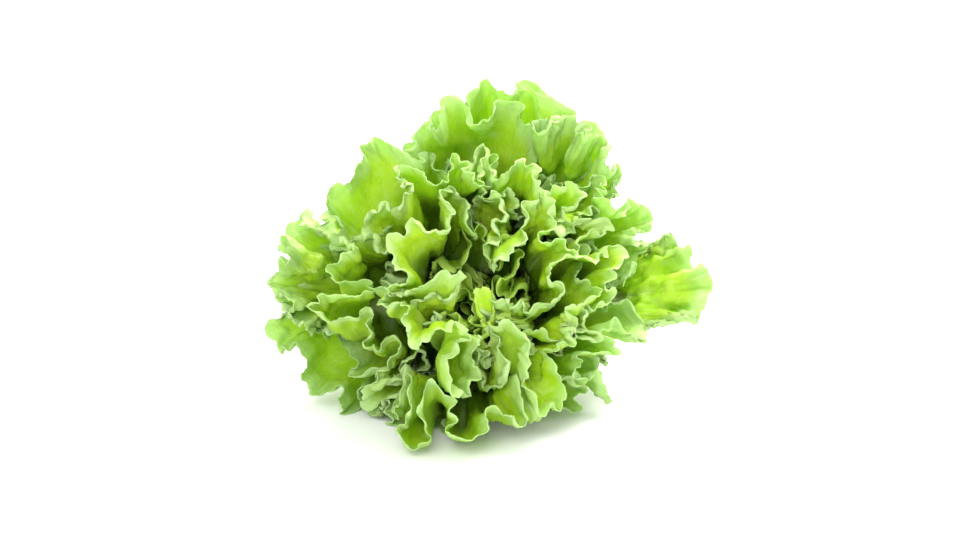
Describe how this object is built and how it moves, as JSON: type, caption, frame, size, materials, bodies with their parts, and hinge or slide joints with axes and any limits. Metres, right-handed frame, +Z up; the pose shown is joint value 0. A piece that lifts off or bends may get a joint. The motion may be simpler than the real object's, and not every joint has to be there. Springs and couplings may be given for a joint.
{
  "type": "head of curly green leaf lettuce",
  "caption": "Head of curly green leaf lettuce: ruffled leaves in a rosette around a short cut stem, lying on its lower leaves with the heart towards the front.",
  "frame": {"origin": "on the surface the head lies on, under the middle of its bounding box", "axes": "+Z up from the surface, -Y the side the rosette faces, +X to the right when looking at the rosette"},
  "size_m": [0.2952, 0.1908, 0.2016],
  "materials": {
    "leaf_outer": "fresh outer leaf, satin, pale at the margin",
    "leaf_middle": "fresh middle leaf, satin, pale at the margin",
    "leaf_heart": "young heart leaf, satin, yellow-green",
    "stem": "pale fleshy stem with a cut end"
  },
  "bodies": {
    "root": {"stem": "stem", "leaf_left_low": "leaf_outer", "leaf_right": "leaf_outer", "leaf_back_top": "leaf_outer", "leaf_floor_left": "leaf_outer", "leaf_left_up": "leaf_outer", "leaf_floor_right": "leaf_outer", "leaf_back_right": "leaf_outer", "leaf_top": "leaf_outer", "leaf_left_fold": "leaf_outer", "leaf_right_up": "leaf_outer", "leaf_upper_left": "leaf_outer", "leaf_right_low": "leaf_outer", "leaf_bottom": "leaf_middle", "leaf_mid_left": "leaf_middle", "leaf_mid_upright": "leaf_middle", "leaf_mid_right": "leaf_middle", "leaf_mid_low": "leaf_middle", "leaf_mid_top": "leaf_middle", "leaf_mid_lowright": "leaf_middle", "leaf_mid_lowleft": "leaf_middle", "leaf_inner_right": "leaf_middle", "leaf_inner_left": "leaf_middle", "leaf_inner_low": "leaf_heart", "leaf_inner_top": "leaf_heart", "leaf_inner_front": "leaf_heart", "leaf_heart_right": "leaf_heart", "leaf_heart_outer": "leaf_heart", "leaf_heart_inner": "leaf_heart"}
  },
  "joints": []
}
